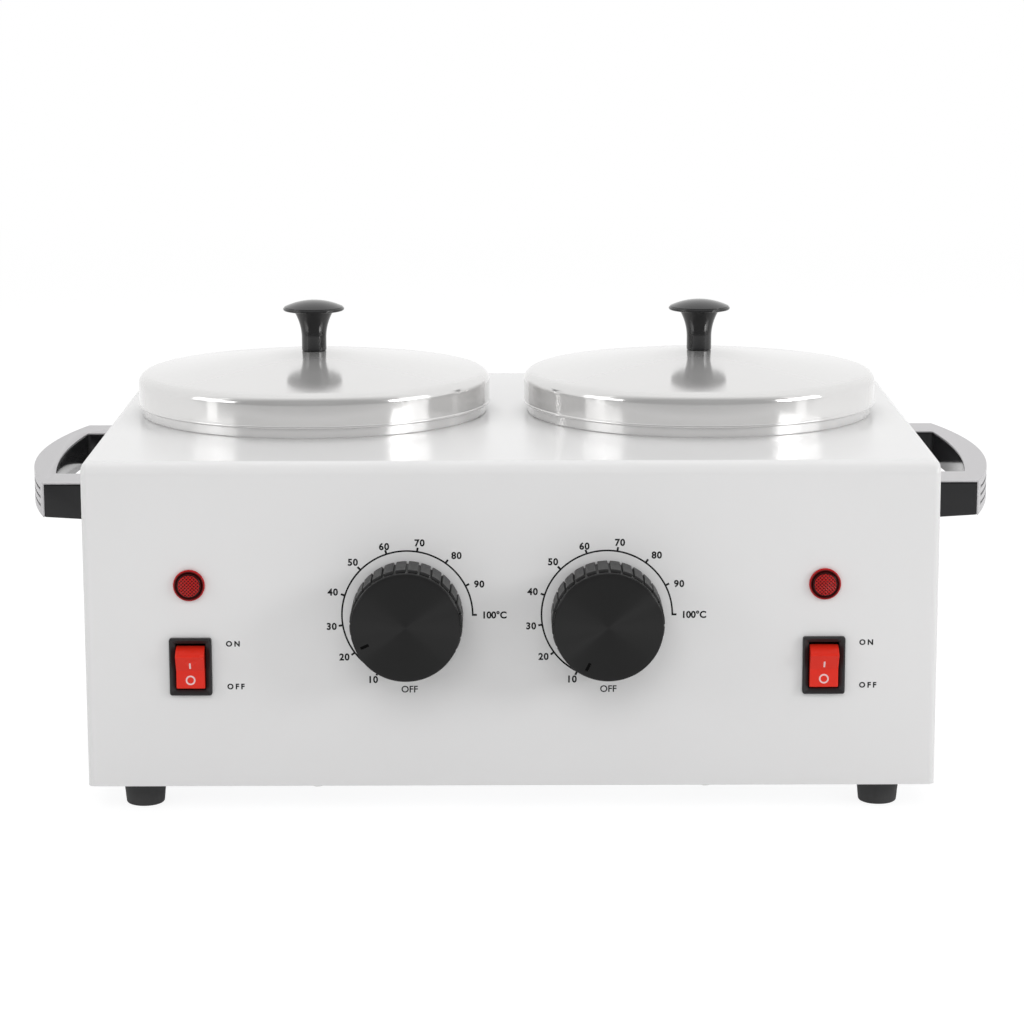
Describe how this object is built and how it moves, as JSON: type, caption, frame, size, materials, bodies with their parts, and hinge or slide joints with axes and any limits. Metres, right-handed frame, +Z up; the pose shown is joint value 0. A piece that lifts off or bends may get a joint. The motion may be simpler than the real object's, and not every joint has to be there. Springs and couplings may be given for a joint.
{
  "type": "double wax warmer",
  "caption": "Tabletop wax warmer: a white folded-steel box with paired lift-out pots and domed lids, thermostat dials, rocker switches, pilot lamps and bow-shaped side handles.",
  "frame": {"origin": "on the table under the middle of the whole outline", "axes": "+X along the width towards the right handle, +Y from the dials to the rear, +Z up"},
  "size_m": [0.367, 0.2522, 0.173],
  "materials": {
    "white_paint": "smooth satin white powder coat on folded steel",
    "zinc_sheet": "plain zinc-plated sheet",
    "plated_fastener": "bright zinc-plated screw or nut",
    "foot_rubber": "matt black moulded rubber",
    "handle_black": "glossy black moulded plastic",
    "handle_silver": "satin silver moulded cover",
    "well_steel": "drawn steel sheet",
    "spun_aluminium": "satin spun aluminium with fine rings",
    "heater_sheath": "steel-sheathed mica band",
    "sensor_copper": "copper bulb and capillary",
    "control_case": "cream heat-proof moulding",
    "dial_plastic": "black moulded plastic",
    "dial_cap": "black disc with a turned sheen",
    "shaft_steel": "turned steel",
    "switch_black": "black moulded switch frame",
    "rocker_red": "clear red moulded rocker",
    "lamp_red": "dark red clear moulding",
    "lens_red": "red ribbed lens",
    "terminal_brass": "plain brass",
    "gland_black": "black nylon",
    "block_ivory": "ivory nylon",
    "knob_black": "glossy black turned knob"
  },
  "bodies": {
    "housing": {"cover": "white_paint", "side_panel_left": "white_paint", "side_panel_right": "white_paint", "base_plate": "zinc_sheet", "base_screws": "plated_fastener", "well_studs": "plated_fastener", "foot_front_left": "foot_rubber", "foot_front_right": "foot_rubber", "foot_rear_left": "foot_rubber", "foot_rear_right": "foot_rubber", "foot_screws": "plated_fastener", "foot_nuts": "plated_fastener", "handle_core_left": "handle_black", "handle_core_right": "handle_black", "handle_cover_left": "handle_silver", "handle_cover_right": "handle_silver", "well_left": "well_steel", "well_right": "well_steel", "heater_band_left": "heater_sheath", "heater_band_right": "heater_sheath", "sensor_left": "sensor_copper", "sensor_right": "sensor_copper", "thermostat_left": "control_case", "thermostat_right": "control_case", "switch_frame_left": "switch_black", "switch_frame_right": "switch_black", "lamp_body_left": "lamp_red", "lamp_body_right": "lamp_red", "lamp_lens_left": "lens_red", "lamp_lens_right": "lens_red", "handle_screws": "plated_fastener", "well_nuts": "plated_fastener", "band_screws": "plated_fastener", "sensor_clips": "plated_fastener", "thermostat_screws": "plated_fastener", "switch_terminals": "terminal_brass", "lamp_nuts": "switch_black", "cord_gland": "gland_black", "gland_nut": "gland_black", "terminal_block": "block_ivory", "terminal_screws": "plated_fastener", "earth_screw": "terminal_brass"},
    "pot_left": {"pot_left": "spun_aluminium"},
    "lid_left": {"lid_left": "spun_aluminium", "lid_knob_left": "knob_black", "lid_washer_left": "plated_fastener", "lid_screw_left": "plated_fastener"},
    "dial_left": {"dial_shaft_left": "shaft_steel", "dial_knob_left": "dial_plastic", "dial_face_left": "dial_cap"},
    "rocker_left": {"rocker_left": "rocker_red"},
    "pot_right": {"pot_right": "spun_aluminium"},
    "lid_right": {"lid_right": "spun_aluminium", "lid_knob_right": "knob_black", "lid_washer_right": "plated_fastener", "lid_screw_right": "plated_fastener"},
    "dial_right": {"dial_shaft_right": "shaft_steel", "dial_knob_right": "dial_plastic", "dial_face_right": "dial_cap"},
    "rocker_right": {"rocker_right": "rocker_red"}
  },
  "joints": [
    {"name": "pot_left_lift", "type": "slide", "parent": "housing", "child": "pot_left", "axis": [0, 0, 1], "range_m": [0, 0.09]},
    {"name": "lid_left_lift", "type": "slide", "parent": "pot_left", "child": "lid_left", "axis": [0, 0, 1], "range_m": [0, 0.06]},
    {"name": "dial_left_turn", "type": "hinge", "parent": "housing", "child": "dial_left", "pos_m": [-0.0371, -0.10485, 0.0742], "axis": [0, 1, 0], "range_deg": [-65.4, 204.6]},
    {"name": "rocker_left_press", "type": "hinge", "parent": "housing", "child": "rocker_left", "pos_m": [-0.1149, -0.10405, 0.0556], "axis": [-1, 0, 0], "range_deg": [0, 28]},
    {"name": "pot_right_lift", "type": "slide", "parent": "housing", "child": "pot_right", "axis": [0, 0, 1], "range_m": [0, 0.09]},
    {"name": "lid_right_lift", "type": "slide", "parent": "pot_right", "child": "lid_right", "axis": [0, 0, 1], "range_m": [0, 0.06]},
    {"name": "dial_right_turn", "type": "hinge", "parent": "housing", "child": "dial_right", "pos_m": [0.0343, -0.10485, 0.0742], "axis": [0, 1, 0], "range_deg": [-27, 243]},
    {"name": "rocker_right_press", "type": "hinge", "parent": "housing", "child": "rocker_right", "pos_m": [0.1121, -0.10405, 0.0556], "axis": [-1, 0, 0], "range_deg": [0, 28]}
  ]
}
